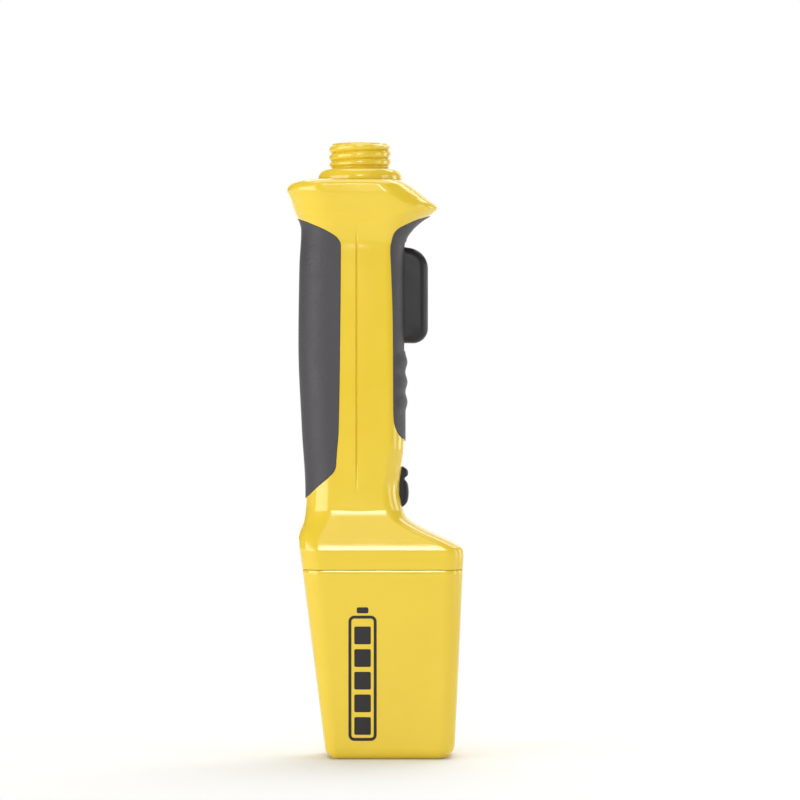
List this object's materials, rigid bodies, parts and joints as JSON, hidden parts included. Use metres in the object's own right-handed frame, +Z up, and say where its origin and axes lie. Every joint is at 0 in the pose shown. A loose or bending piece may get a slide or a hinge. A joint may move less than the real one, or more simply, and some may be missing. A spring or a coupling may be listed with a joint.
{
  "type": "cattle prod handle",
  "caption": "Yellow cattle prod handle with dark soft grips, flared guard, threaded neck for a shaft, long trigger, thumb safety slider and pull-off battery pack.",
  "frame": {"origin": "on the flat base of the battery pack, under the axis of the threaded neck", "axes": "+Z up along the neck's axis, +X towards the trigger, +Y towards the side with the screw heads; the pictured side faces -Y"},
  "size_m": [0.0881, 0.049, 0.306],
  "materials": {
    "abs_yellow": "glossy moulded ABS",
    "tpe_grey": "satin soft overmould",
    "black_nylon": "satin moulded nylon",
    "steel": "bright zinc plated",
    "brass": "bright",
    "ivory_plastic": "satin",
    "board_green": "satin",
    "ferrite": "matt",
    "copper": "enamelled wire",
    "capacitor_can": "sleeved",
    "lead_red": "insulated wire",
    "cell_can": "sleeved steel can",
    "foam_grey": "matt foam"
  },
  "bodies": {
    "handle": {"label_side_case": "abs_yellow", "screw_side_case": "abs_yellow", "label_side_palm_grip": "tpe_grey", "screw_side_palm_grip": "tpe_grey", "label_side_finger_grip": "tpe_grey", "screw_side_finger_grip": "tpe_grey", "threaded_neck": "abs_yellow", "contact_carrier": "black_nylon", "contact_studs": "brass", "trigger_pin": "steel", "trigger_spring": "steel", "microswitch": "black_nylon", "safety_switch": "black_nylon", "circuit_board": "board_green", "transformer_core": "ferrite", "transformer_coil": "copper", "capacitors": "capacitor_can", "power_transistor": "black_nylon", "contact_block": "black_nylon", "contact_blades": "brass", "case_screws": "steel", "hv_leads": "lead_red", "battery_leads": "lead_red", "switch_leads": "lead_red"},
    "trigger": {"trigger": "black_nylon"},
    "plunger": {"switch_plunger": "ivory_plastic"},
    "safety": {"safety_slider": "black_nylon"},
    "battery_pack": {"pack_tub": "abs_yellow", "pack_base": "abs_yellow", "pack_lid": "black_nylon", "battery_cells": "cell_can", "base_pad": "foam_grey", "cell_links": "steel", "pack_clips": "brass", "charge_jack": "black_nylon"}
  },
  "joints": [
    {"name": "trigger_pull", "type": "hinge", "parent": "handle", "child": "trigger", "pos_m": [0.014, 0, 0.249], "axis": [0, 1, 0], "range_deg": [0, 7], "stiffness_Nm_per_rad": 0.6, "springref_deg": -8.59, "deforming": ["trigger_spring"]},
    {"name": "plunger_press", "type": "slide", "parent": "handle", "child": "plunger", "axis": [-1, 0, 0], "range_m": [0, 0.0017]},
    {"name": "safety_slide", "type": "slide", "parent": "handle", "child": "safety", "axis": [0, 0, 1], "range_m": [0, 0.005]},
    {"name": "pack_release", "type": "slide", "parent": "battery_pack", "child": "handle", "axis": [0, 0, 1], "range_m": [0, 0.03]}
  ],
  "couplings": [
    {"joint": "plunger_press", "follows": "trigger_pull", "m_per_rad": 0.013}
  ]
}
